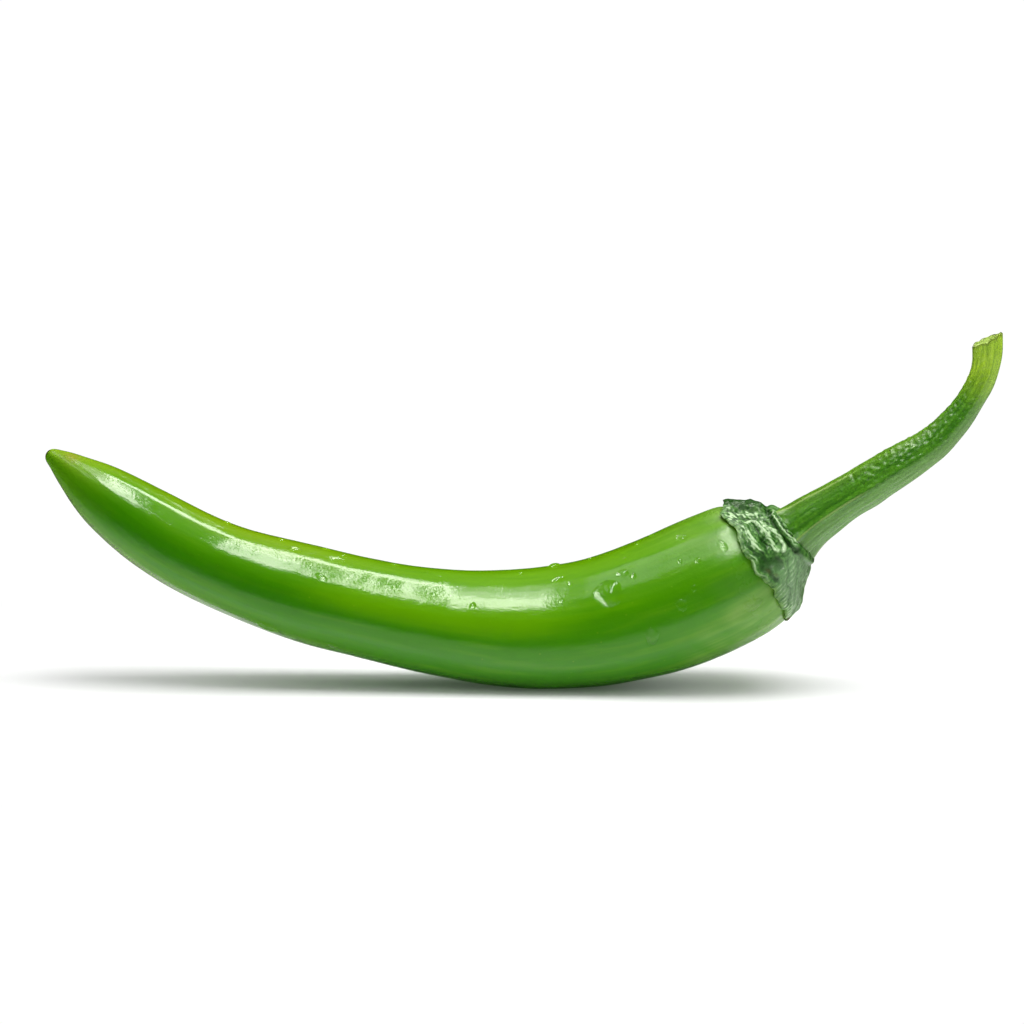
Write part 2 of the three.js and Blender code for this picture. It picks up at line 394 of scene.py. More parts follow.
def calyx_material():
    m, t, bsdf = material("calyx_green")
    g = Nodes(t)
    skin, ridge, edge = g.attr("skin", True), g.attr("ridge"), g.attr("edge")
    fibre = g.noise(g.stretch(skin, 0.22, 1.5, 1.5), 1.5, 4.0, 0.6)
    patch = g.noise(g.stretch(skin, 0.6, 1, 1), 0.33, 3.0, 0.6, 0.6)
    col = g.mix(g.span(fibre, 0.36, 0.66), (0.024, 0.120, 0.010), (0.115, 0.290, 0.055))
    col = g.mix(g.span(patch, 0.5, 0.72, 0, 0.5), col, (0.15, 0.32, 0.10))
    # painted highlight and shade: pale mint where ridge is high, on folds, ribs, strands and the collar, and near
    # black where it is low, in creases, grooves and hollows
    col = g.mix(g.span(ridge, 0.08, 0.85, 0, 0.9), col, (0.50, 0.70, 0.39))
    col = g.mix(g.span(ridge, -0.15, -1.0, 0, 0.85), col, (0.010, 0.062, 0.004))
    # painted floor reflection: greyer, paler green on the lower lobe
    col = g.mix(g.math("MULTIPLY", g.attr("lobe"), 0.58), col, (0.23, 0.36, 0.20))
    specks = g.cells(skin, 1.6)
    col = g.mix(g.span(specks, 0.24, 0.08, 0, 0.6), col, (0.014, 0.075, 0.006))
    col = g.mix(g.math("MULTIPLY", edge, g.span(fibre, 0.35, 0.6, 0.05, 0.4)), col, (0.22, 0.36, 0.08))
    col = g.mix(g.attr("brown"), col, (0.06, 0.035, 0.012))
    t.links.new(col, bsdf.inputs["Base Color"])
    t.links.new(g.span(fibre, 0.3, 0.7, 0.26, 0.42, False), bsdf.inputs["Roughness"])
    bsdf.inputs["IOR"].default_value = 1.5
    b = g.bump(fibre, 0.00022, 0.6)
    b = g.bump(g.noise(skin, 2.2, 3.0), 0.00012, 0.5, b)
    t.links.new(b, bsdf.inputs["Normal"])
    return m


def stem_material():
    m, t, bsdf = material("stem_green")
    g = Nodes(t)
    skin, ridge, end, cut = g.attr("skin", True), g.attr("ridge"), g.attr("end"), g.attr("cut")
    fibre = g.noise(g.stretch(skin, 0.10, 1.6, 1.6), 1.3, 4.0, 0.55)
    mottle = g.cells(g.stretch(skin, 0.7, 1, 1), 1.5)
    soft = g.noise(skin, 0.45, 2.0)
    col = g.mix(g.span(fibre, 0.35, 0.68), (0.030, 0.150, 0.001), (0.066, 0.235, 0.006))
    # painted light: paler, yellower green on the sides that face up
    col = g.mix(g.span(g.attr("lift"), 0.35, 1.0, 0, 0.75), col, (0.165, 0.345, 0.02))
    col = g.mix(g.span(mottle, 0.45, 0.15, 0, 0.25), col, (0.17, 0.37, 0.05))
    col = g.mix(g.span(soft, 0.5, 0.75, 0, 0.3), col, (0.07, 0.24, 0.006))
    col = g.mix(g.span(ridge, 0.86, 1.0, 0, 0.6), col, (0.30, 0.45, 0.12))
    col = g.mix(g.math("MULTIPLY", end, g.span(fibre, 0.3, 0.7, 0.45, 0.95)), col, (0.40, 0.62, 0.03))
    # painted floor reflection: greyer, paler green on the sides that face down, under the front ridge, fading out
    # towards the cut end
    col = g.mix(g.math("MULTIPLY", g.span(g.attr("lift"), -0.02, -0.5), g.span(g.attr("end"), 0.6, 0.0, 0, 0.45)), col, (0.16, 0.30, 0.09))
    wood = g.noise(skin, 2.6, 3.0)
    col = g.mix(cut, col, g.mix(g.span(wood, 0.4, 0.65), (0.26, 0.40, 0.05), (0.42, 0.56, 0.13)))
    col = g.mix(g.attr("rim"), col, (0.13, 0.17, 0.02))
    t.links.new(col, bsdf.inputs["Base Color"])
    t.links.new(g.span(mottle, 0.1, 0.6, 0.22, 0.32, False), bsdf.inputs["Roughness"])
    bsdf.inputs["IOR"].default_value = 1.5
    b = g.bump(fibre, 0.00006, 0.4)
    b = g.bump(g.noise(g.stretch(skin, 0.6, 1, 1), 2.4, 2.0), 0.00012, 0.5, b)
    t.links.new(b, bsdf.inputs["Normal"])
    return m


def water_material():
    m, t, bsdf = material("water")
    bsdf.inputs["Base Color"].default_value = (1, 1, 1, 1)
    bsdf.inputs["Roughness"].default_value = 0.0
    bsdf.inputs["IOR"].default_value = 1.333
    bsdf.inputs["Transmission Weight"].default_value = 1.0
    return m


def skin_of(s, turn, r):
    return np.stack([s, r * np.cos(turn), r * np.sin(turn)], -1)


# ------------------------------------------------------------------ pod
def make_pod():
    sectors = 200
    s, r = POD_RING_S[1:-1], np.maximum(POD_RING_R[1:-1], 1e-3)
    turn = np.linspace(0, 2 * math.pi, sectors, endpoint=False)
    S, T = np.meshgrid(s, turn, indexing="ij")
    R = np.repeat(r[:, None], sectors, 1)
    pts = pod_skin(S, T, R)
    _, _, n, b = at(s)
    lift = np.cos(T) * n[:, 2:3] + np.sin(T) * b[:, 2:3]
    # the tip's yellower tone, stronger on its upper side as painted light
    tip_tone_and_top_light = ramp(S, 16, 1.0) * (0.25 + 0.75 * np.clip(np.cos(T), 0, 1))
    # the skin's paler tone below the cap, raised on the underside as painted floor reflection and on top as painted
    # sheen
    crown = ramp(S, 97, 114.5) * (0.45 + 0.55 * np.abs(waves(skin_of(S, T, 9), 9, 21))) * (0.12 + 1.5 * ramp(-lift, 0.15, 0.55) + 0.5 * ramp(lift, 0.4, 0.9))
    scar = ramp(S, 0.5, 0.1) * 0.9
    bruise = 0.55 * np.exp(-((S - 3.6) / 1.1) ** 2 - (turn_gap(T, 328) / 24) ** 2)
    ob = grid_mesh("chilli_pod", pts,
                   {"skin": skin_of(S, T, R), "lift": lift, "along": S / 120, "tip": tip_tone_and_top_light, "crown": np.clip(crown, 0, 1), "scar": scar, "bruise": bruise},
                   start_pole=at(np.array([0.03]))[0][0], end_pole=at(np.array([POD_RING_S[-1]]))[0][0])
    ob.data.materials.append(pod_material())
    return check_out(ob)


# ------------------------------------------------------------------ calyx
# The margin: (turn in degrees, s). Front is 270.
MARGIN = np.array([
    [0, 116.2], [14, 116.2], [30, 114.9], [52, 114.3], [75, 115.3], [100, 114.2], [128, 115.3], [152, 114.3],
    [172, 115.1], [188, 115.1], [199, 114.5], [218, 115.05], [243, 115.3], [249, 115.6], [261, 115.3],
    [272, 114.8], [282, 115.1], [295, 114.8], [315, 115.8], [338, 114.5], [344, 115.1], [350, 116.1]])
RIBS = [58, 112, 160, 186]
CAP_LENGTH = 10.45
# Folds and creases of the visible side: width, height, lightness (positive for a painted highlight along a fold,
# negative for painted shade along a crease), then (turn in degrees, share of the way from margin to stem).
FOLDS = [
    (0.30, 0.16, 0.7, [(343, 0.10), (344, 0.42), (332, 0.70)]),
    (0.28, 0.14, 0.7, [(336, 0.04), (332, 0.34), (321, 0.64)]),
    (0.28, 0.14, 0.6, [(330, 0.04), (323, 0.25), (317, 0.43)]),
    (0.55, 0.42, 1.3, [(315, 0.28), (317, 0.43), (309, 0.52), (295, 0.54), (281, 0.49)]),
    (0.42, 0.30, 0.9, [(307, 0.22), (297, 0.23), (286, 0.23), (282, 0.26)]),
    (0.26, 0.14, 0.5, [(321, 0.19), (304, 0.145), (286, 0.06), (279, 0.09)]),
    (0.42, 0.34, 1.2, [(317, 0.57), (300, 0.69), (281, 0.70), (274, 0.62)]),
    (0.20, 0.20, 0.9, [(338, 0.84), (314, 0.80), (296, 0.82), (276, 0.86), (262, 0.90)]),
    (0.20, 0.16, 0.7, [(328, 0.74), (303, 0.72), (278, 0.79), (262, 0.85)]),
    (0.26, 0.18, 0.3, [(267, 0.63), (262, 0.79)]),
    (0.34, 0.18, 0.25, [(264, 0.47), (247, 0.25), (234, 0.11), (215, 0.02)]),
    (0.38, 0.22, 0.35, [(254, 0.65), (240, 0.40), (228, 0.19), (210, 0.04)]),
    (0.36, 0.16, 0.2, [(228, 0.62), (224, 0.38), (217, 0.17)]),
    (0.26, 0.14, 0.2, [(262, 0.21), (243, 0.10), (224, 0.02)]),
    (0.26, 0.16, 0.5, [(279, 0.02), (268, 0.04), (252, 0.08)]),
    (0.55, 0.30, 0.3, [(196, 0.60), (200, 0.30), (203, 0.0)]),
    (0.22, -0.22, -0.9, [(349, 0.06), (356, 0.45), (342, 0.74)]),
    (0.22, -0.16, -0.7, [(330, 0.26), (326, 0.48), (316, 0.66)]),
    (0.22, -0.16, -0.7, [(338, 0.08), (334, 0.38), (325, 0.66)]),
    (0.24, -0.16, -0.8, [(312, 0.14), (294, 0.10), (283, 0.14)]),
    (0.30, -0.34, -1.2, [(309, 0.42), (293, 0.38), (283, 0.36)]),
    (0.60, -0.34, -1.2, [(282, 0.20), (273, 0.16), (261, 0.12), (256, 0.14)]),
    (1.15, -0.50, -1.2, [(270, 0.26), (267, 0.34)]),
    (0.34, -0.36, -1.2, [(342, 0.78), (311, 0.74), (279, 0.745), (250, 0.79)]),
    (0.26, -0.30, -1.2, [(322, 0.88), (292, 0.86), (270, 0.92)]),
    (0.55, -0.35, -1.2, [(252, 0.80), (246, 0.84)]),
    (0.22, -0.20, -0.8, [(257, 0.52), (242, 0.30), (227, 0.11)]),
    (0.24, -0.20, -0.8, [(242, 0.67), (230, 0.40), (221, 0.18)]),
    (0.45, -0.25, -1.3, [(255, 0.10)]),
]


def margin(turn):
    a = np.radians(np.concatenate([MARGIN[:, 0] - 360, MARGIN[:, 0], MARGIN[:, 0] + 360]))
    v = np.tile(MARGIN[:, 1], 3)
    q = np.mod(turn, 2 * math.pi).ravel()
    out = np.interp(q, a, v) * 0.6 + spline(a, v, q) * 0.4
    return out.reshape(np.shape(turn)) + 0.08 * np.sin(23 * turn + 1.3) + 0.06 * np.sin(41 * turn)


def rib_field(turn, t):
    """1 on the ribs that run from the collar to the points of the margin."""
    out = np.zeros_like(turn)
    for i, deg in enumerate(RIBS):
        bend = 5 * math.sin(i * 2.3) * (1 - t)
        out = np.maximum(out, np.exp(-(turn_gap(turn + np.radians(bend), deg) / (7.5 - 2.5 * t)) ** 2))
    return out


def fold_field(turn, t, radius, width, line):
    """1 along a line drawn on the cap, falling off to both sides; the line wavers with the warped turn and t that it
    is given.
    """
    best = np.full(turn.shape, 99.0)
    line = line if len(line) > 1 else [line[0], (line[0][0] - 1, line[0][1])]
    for (d0, u0), (d1, u1) in zip(line[:-1], line[1:]):
        x, y = (t - u0) * CAP_LENGTH, np.radians(turn_gap(turn, d0)) * radius
        vx, vy = (u1 - u0) * CAP_LENGTH, np.radians(d1 - d0) * radius
        k = np.clip((x * vx + y * vy) / (vx * vx + vy * vy + 1e-9), 0, 1)
        best = np.minimum(best, np.hypot(x - k * vx, y - k * vy))
    return np.exp(-(best / width) ** 2)


def make_calyx():
    sectors, rings = 520, 120
    turn = np.linspace(0, 2 * math.pi, sectors, endpoint=False)
    t_out = np.linspace(0, 1, rings)
    outer_s = np.array([115.0, 115.8, 116.6, 117.4, 118.4, 119.4, 120.3, 120.9, 121.25, 121.6, 122.0, 122.35, 122.5, 122.4])
    outer_r = np.array([10.05, 9.86, 9.42, 8.86, 8.02, 7.1, 6.25, 5.72, 5.58, 5.55, 5.25, 4.75, 4.3, 3.7])
    k = np.concatenate([[0], np.cumsum(np.hypot(np.diff(outer_s), np.diff(outer_r)))])
    k /= k[-1]
    base_s, base_r = spline(k, outer_s, t_out), spline(k, outer_r, t_out)
    U, T = np.meshgrid(t_out, turn, indexing="ij")
    m = margin(T)
    pull = (1 - ramp(U, 0, 0.55))
    S = base_s[:, None] + (m - 115.0) * pull
    R = base_r[:, None] - (m - 115.0) * 0.30 * pull
    cone = skin_of(S, T, 9.0)
    rib = rib_field(T, U)
    body = ramp(U, 0.02, 0.14) * (1 - ramp(U, 0.70, 0.80))
    seen = np.exp(-(turn_gap(T, 272) / 78) ** 6)
    warp = 0.35 * waves(np.stack([S * 0.7, 9 * np.cos(T), 9 * np.sin(T)], -1), 2.4, 36)
    warp_u = 0.012 * waves(np.stack([S, 9 * np.cos(T), 9 * np.sin(T)], -1), 1.7, 37)
    folds = waves(np.stack([S * 0.45, 9 * np.cos(T), 9 * np.sin(T)], -1), 1.5, 31) * 0.5 + waves(cone, 3.4, 32) * 0.6
    crease = -np.abs(waves(np.stack([S * 0.8, 9 * np.cos(T), 9 * np.sin(T)], -1), 4.2, 33))
    wrinkle = waves(np.stack([S * 1.7, 5 * np.cos(T), 5 * np.sin(T)], -1), 2.0, 34)
    calm = 1 - 0.55 * seen
    low = np.exp(-(turn_gap(T, 226) / 36) ** 4)
    height = body * (0.42 * rib + calm * (1 - 0.7 * low) * (0.16 * folds + 0.22 * crease) + 0.05 * (1 - 0.6 * low) * wrinkle)
    # painted highlight and shade: ridge is lighter on ribs and folds and darker in creases
    ridge = body * calm * (1 - 0.6 * low) * np.clip(0.9 * rib - 0.45 + 0.5 * folds + 0.6 * (crease + 0.6), -1, 1.3)
    for width, tall, light, line in FOLDS:
        f = fold_field(T + warp / 9, U + warp_u, R, width, line)
        height = height + tall * f
        ridge = ridge + light * f
    # strands: round the cap below the flap, and lengthwise on the lower lobe, raised a little and painted lighter
    # along them as highlights
    arc = np.radians(turn_gap(T, 270)) * R
    upper = ramp(turn_gap(T, 310), -38, -26) * (1 - ramp(turn_gap(T, 310), 26, 34)) * ramp(U, 0.01, 0.06) * (1 - ramp(U, 0.66, 0.74))
    strand = np.cos(2 * math.pi * (U * CAP_LENGTH + 0.26 * arc + 0.35 * warp) / 0.66)
    dots = waves(np.stack([S * 1.2, 9 * np.cos(T), 9 * np.sin(T)], -1), 1.0, 38)
    lobe = ramp(turn_gap(T, 226), -44, -34) * (1 - ramp(turn_gap(T, 226), 26, 36)) * ramp(U, 0.0, 0.05) * (1 - ramp(U, 0.70, 0.80))
    stria = np.cos(2 * math.pi * (arc + 0.22 * warp - 1.6 * U) / 0.62)
    height += 0.035 * upper * strand + 0.030 * lobe * stria
    brow = np.exp(-(turn_gap(T, 336) / 13) ** 4) * ramp(U, 0.02, 0.10) * (1 - ramp(U, 0.60, 0.72))
    ridge = ridge + upper * (0.34 * strand + 0.22 * dots) + brow * (0.30 * strand + 0.28 * dots + 0.10) + lobe * (0.34 * stria + 0.05 * dots + 0.08)
    # the blunt flap on top, standing off the pod
    flap = np.exp(-(turn_gap(T, 0) / 15) ** 6) * (1 - ramp(U, 0.68, 0.80))
    height += (0.70 + 0.50 * ramp(U, 0.05, 0.4)) * flap
    ridge -= 1.1 * np.exp(-(turn_gap(T, 3) / 15) ** 6) * (1 - ramp(U, 0.68, 0.80))
    # the cap draws in behind its lowest point
    height -= 0.75 * np.exp(-(turn_gap(T, 192) / 26) ** 2 - ((U - 0.42) / 0.24) ** 2)
    # the collar round the stem: a low uneven ring with a groove on the pod's side; the ring is painted lighter as a
    # highlight and the groove darker as painted shade
    ring = waves(np.stack([6 * np.cos(T), 6 * np.sin(T)], -1), 4.0, 35)
    collar = lumps(U, 0.845, 0.045) * (0.06 + 0.05 * ring)
    groove = lumps(U, 0.765, 0.026) * 0.20
    collar = collar * (1 - 0.8 * np.exp(-(turn_gap(T, 200) / 45) ** 2))
    height += collar - groove
    ridge = ridge + collar * 1.5 - groove * 3.0
    # creases that run on from the collar into the foot of the stem, with painted light and shade along them
    foot = ramp(U, 0.80, 0.95)
    height += foot * 0.10 * np.cos(19 * T + 0.8 * ring)
    ridge = ridge + foot * 0.45 * np.cos(19 * T + 0.8 * ring)
    height += 0.05 * np.sin(29 * T) * (1 - ramp(U, 0, 0.08))
    R = R + height * 0.80
    S = S + height * 0.45 * ramp(U, 0.1, 0.6)
    skin = skin_of(S, T, R)
    outer = place(S, T, R)
    # underside: round the thickness of the edge and back in under the cap, hidden against the pod
    under_s = S[0] + np.array([[-0.10], [0.02], [0.35], [1.2], [2.6], [4.2]])
    pod_r = pod_radius(under_s)
    under_r = np.stack([R[0] - 0.16, R[0] - 0.46, np.minimum(R[0] - 0.62, pod_r[2] + 0.05),
                        pod_r[3] - 0.25, pod_r[4] - 0.5, pod_r[5] - 0.9])
    under_r[1] -= 0.5 * flap[0]
    under = place(under_s, np.repeat(turn[None], 6, 0), under_r)
    pts = np.concatenate([under[::-1], outer])
    pad = lambda v, w=None: np.concatenate([np.repeat(v[:1], 6, 0) if w is None else np.full((6, sectors), w), v])
    edge = (1 - ramp(U, 0.0, 0.06)) * (1 - 0.8 * flap)
    brown = sum(0.95 * np.exp(-(turn_gap(T, deg) / 2.8) ** 2) * (1 - ramp(U, 0.0, 0.075)) for deg in (197, 204, 55, 101, 150))
    brown += 0.6 * np.exp(-(turn_gap(T, 266) / 3) ** 2 - ((U - 0.14) / 0.03) ** 2)
    brown += 0.5 * np.exp(-(turn_gap(T, 259) / 2) ** 2 - ((U - 0.19) / 0.03) ** 2)
    skin_pad = np.concatenate([np.repeat(skin[:1], 6, 0), skin])
    # the lobe attribute carries the painted floor reflection of the lower lobe
    ob = grid_mesh("chilli_calyx", pts, {"skin": skin_pad, "ridge": pad(np.clip(ridge, -1.3, 1.4), -1.0), "edge": pad(edge, 1.0), "brown": pad(np.clip(brown, 0, 1), 0.0), "lobe": pad(low * ramp(U, 0.0, 0.2) * (1 - ramp(U, 0.7, 0.85)), 0.0)},
                   start_pole=at(np.array([119.0]))[0][0], end_pole=at(np.array([122.2]))[0][0])
    ob.data.materials.append(calyx_material())
    return check_out(ob)


# ------------------------------------------------------------------ stem
STEM_RIDGES = [264, 334, 48, 118, 192]


def make_stem():
    sectors = 200
    s = np.arange(121.6, 167.4, 0.16)
    r = spline(STEM[:, 0], STEM[:, 1], s)
    turn = np.linspace(0, 2 * math.pi, sectors, endpoint=False)
    S, T = np.meshgrid(s, turn, indexing="ij")
    fade = ramp(S, 167, 150)
    ridge = np.zeros_like(S)
    for i, deg in enumerate(STEM_RIDGES):
        sway = 3.0 * np.sin(S / 9 + i * 1.7)
        width = 12 - 5 * ramp(S, 140, 124) * (i == 0)
        ridge = np.maximum(ridge, np.exp(-(turn_gap(T - np.radians(sway), deg) / width) ** 2))
    R = r[:, None] * (1 + (0.085 * ridge - 0.030) * (0.45 + 0.55 * fade))
    R += 0.35 * ridge * ramp(S, 125.5, 121.9)
    skin = skin_of(S, T, np.repeat(r[:, None], sectors, 1))
    R += 0.034 * waves(skin, 0.80, 41, 40) * (0.15 + 0.85 * ramp(S, 131, 139)) * ramp(S, 164, 157) * (0.12 + 0.88 * ramp(np.cos(T - math.radians(312)), 0.2, 0.85)) + 0.022 * waves(skin, 5.0, 42)
    R += 0.02 * waves(np.stack([S * 0.15, skin[..., 1], skin[..., 2]], -1), 0.8, 43)
    # a small nick on top and the lip where it was cut
    R -= 0.16 * lumps(S, 134.6, 0.18) * np.exp(-(turn_gap(T, 330) / 22) ** 2)
    pts = place(S, T, R)
    # slanting cut, with a slightly rolled rim
    normal = np.array([-math.sin(CUT_SLANT), 0, math.cos(CUT_SLANT)])
    along = np.array([math.cos(CUT_SLANT), 0, math.sin(CUT_SLANT)])
    over = (pts - CUT_AT) @ normal
    rough = 0.10 * waves(skin, 1.3, 44)
    lip = 0.35 * np.exp(-(turn_gap(T, 0) / 30) ** 2)
    over = over - rough - lip * 0.3
    # the last ring before the cut is drawn onto it, the rings past it close the face
    keep = int(np.argmax((over > 0).all(axis=1))) + 1
    pts = pts[:keep]
    over = over[:keep]
    S, T, ridge, skin, R = S[:keep], T[:keep], ridge[:keep], skin[:keep], R[:keep]
    n = len(S)
    side = place(S, T, R)
    for j in range(sectors):
        i = int(np.argmax(over[:, j] > 0))
        f = over[i - 1, j] / (over[i - 1, j] - over[i, j])
        cut_point = side[i - 1, j] + (side[i, j] - side[i - 1, j]) * f
        start = max(i - 40, 0)
        w = np.linspace(0, 1, n - start)
        idx = start + w * ((i - 1 + f) - start)
        lo = np.floor(idx).astype(int)
        hi = np.minimum(lo + 1, n - 1)
        pts[start:, j] = side[lo, j] * (1 - (idx - lo))[:, None] + side[hi, j] * (idx - lo)[:, None]
        pts[-1, j] = cut_point
    rimp = pts[-1]
    mid = rimp.mean(0)
    rings, cutv, rimv = [], [], []
    for q, sink, c, k in ((0.985, -0.02, 0.2, 1.0), (0.95, 0.03, 0.7, 0.6), (0.90, 0.09, 1, 0.25), (0.80, 0.10, 1, 0), (0.66, 0.06, 1, 0), (0.5, 0.10, 1, 0), (0.34, 0.16, 1, 0), (0.17, 0.2, 1, 0)):
        ring = mid + (rimp - mid) * q - normal * sink
        ring = ring + normal * (0.05 * waves(ring, 0.7, 45)[:, None]) * (q < 0.93)
        rings.append(ring)
        cutv.append(np.full(sectors, c))
        rimv.append(np.full(sectors, k))
    pts = np.concatenate([pts, np.stack(rings)])
    more = len(rings)
    wide = lambda v: np.concatenate([v, np.repeat(v[-1:], more, 0)])
    _, _, nn, bb = at(S[:, 0])
    lift = wide(np.cos(T) * nn[:, 2:3] + np.sin(T) * bb[:, 2:3])
    zero = np.zeros((n, sectors))
    end = wide(ramp(S, 153, 162.5))
    cut = np.concatenate([zero, np.stack(cutv)])
    rim = np.concatenate([zero + ramp(np.linspace(0, n, n)[:, None], n - 3, n) * 0.7, np.stack(rimv)])
    skin = np.concatenate([skin, np.stack(rings) * 1.0])
    ob = grid_mesh("chilli_stem", pts, {"skin": skin, "ridge": wide(ridge * ramp(S, 150, 132)), "lift": lift, "end": end, "cut": cut, "rim": rim},
                   start_pole=at(np.array([121.2]))[0][0], end_pole=mid - normal * 0.22)
    ob.data.materials.append(stem_material())
    return check_out(ob)


# ------------------------------------------------------------------ drops of water on the skin
# (s, turn in degrees, length along, width around), mm
DROPS = [
    (41.8, 335, 2.4, 1.5), (48.3, 336, 2.7, 1.5), (47.05, 304, 2.1, 1.2), (41.05, 217, 3.3, 2.0), (64.05, 310, 0.9, 0.9),
    (62.55, 345, 0.75, 0.75), (64.55, 339, 0.6, 0.6), (67.55, 323, 0.75, 0.6), (70.3, 302, 1.2, 1.05), (50.8, 219, 1.35, 1.05),
    (77.8, 348, 1.2, 0.9), (83.8, 2, 2.4, 1.4), (84.3, 330, 2.7, 1.2), (86.3, 322, 1.05, 0.9), (84.55, 305, 1.2, 1.05),
    (92.3, 303, 5.2, 4.3), (95.4, 318, 2.2, 1.4), (97.05, 312, 1.2, 1.05), (99.05, 350, 1.35, 0.9), (101.8, 357, 1.2, 0.75),
    (106.8, 331, 2.1, 2.1), (105.05, 309, 0.9, 1.2), (107.8, 303, 1.05, 1.2), (112.4, 306, 1.5, 2.2), (105.55, 283, 1.2, 1.2),
    (102.8, 274, 1.8, 2.1), (97.05, 257, 2.1, 2.8), (112.1, 248, 3.0, 2.1), (96.55, 334, 0.75, 0.6), (90.3, 359, 0.75, 0.6),
    (29.8, 356, 1.5, 0.9), (39.05, 350, 1.5, 0.9), (46.3, 357, 1.35, 0.9), (49.3, 349, 1.35, 0.9), (57.3, 353, 1.2, 0.9)]


def make_drops():
    rng = np.random.default_rng(77)
    drops = list(DROPS)
    for _ in range(26):  # the far side and the top carry their share too
        s, t = rng.uniform(24, 111), rng.uniform(14, 150)
        w = 0.7 + 2.6 * rng.uniform() ** 2.5
        if all(math.hypot(s - q[0], 9 * math.radians(turn_gap(np.array(math.radians(t)), q[1]))) > (w + q[2]) * 0.6 for q in drops):
            drops.append((s, t, w * rng.uniform(0.9, 1.3), w))
    verts, faces = [], []
    for s0, deg, long, wide in drops:
        n_r, n_a = (14, 44) if long > 1.5 else (9, 28)
        rho = np.sin(np.linspace(0, math.pi / 2, n_r + 1))[1:]
        phi = np.linspace(0, 2 * math.pi, n_a, endpoint=False)
        P, Q = np.meshgrid(rho, phi, indexing="ij")
        a, b, c = rng.uniform(0, 6.283, 3)
        wob = 1 + 0.07 * np.cos(2 * Q + a) + 0.06 * np.cos(3 * Q + b) + 0.03 * np.cos(5 * Q + c)
        tilt = rng.uniform(-0.5, 0.5)
        u, v = P * np.cos(Q) * long / 2 * wob, P * np.sin(Q) * wide / 2 * wob
        u, v = u * math.cos(tilt) - v * math.sin(tilt), u * math.sin(tilt) + v * math.cos(tilt)
        r0 = float(pod_radius(s0))
        tall = 0.46 * (min(long, wide) / 2) ** 0.85 * rng.uniform(0.9, 1.1)
        # gravity draws the water to the lower side of the drop
        down = -np.sign(math.sin(math.radians(deg))) * v / max(wide / 2, 1e-3) * abs(math.sin(math.radians(deg)))
        h = tall * (1 - P ** 2) ** 0.75 * (1 - 0.28 * down)
        S, T = s0 + u, math.radians(deg) + v / r0
        R = pod_radius(S)
        top = pod_skin(S, T, R, h - 0.02 * P ** 4)
        low = pod_skin(S, T, R, -0.05 - 0.02 * (1 - P))
        mid_t = pod_skin(np.array([[s0]]), np.array([[math.radians(deg)]]), np.array([[r0]]), tall)[0, 0]
        mid_l = pod_skin(np.array([[s0]]), np.array([[math.radians(deg)]]), np.array([[r0]]), -0.07)[0, 0]
        o = len(verts)
        verts += [mid_t, mid_l] + list(top.reshape(-1, 3)) + list(low.reshape(-1, 3))
        t0, l0 = o + 2, o + 2 + n_r * n_a
        for j in range(n_a):
            k = (j + 1) % n_a
            faces.append([o, t0 + j, t0 + k])
            faces.append([o + 1, l0 + k, l0 + j])
            for i in range(n_r - 1):
                faces.append([t0 + i * n_a + j, t0 + (i + 1) * n_a + j, t0 + (i + 1) * n_a + k, t0 + i * n_a + k])
                faces.append([l0 + i * n_a + j, l0 + i * n_a + k, l0 + (i + 1) * n_a + k, l0 + (i + 1) * n_a + j])
            e = (n_r - 1) * n_a
            faces.append([t0 + e + j, l0 + e + j, l0 + e + k, t0 + e + k])
    me = bpy.data.meshes.new("water_drops")
    me.from_pydata((np.array(verts) * MM).tolist(), [], faces)
    me.update()
    me.polygons.foreach_set("use_smooth", [True] * len(me.polygons))
    ob = bpy.data.objects.new("water_drops", me)
    bpy.context.collection.objects.link(ob)
    me.materials.append(water_material())
    ob.visible_shadow = ob.visible_diffuse = False
    return check_out(ob)


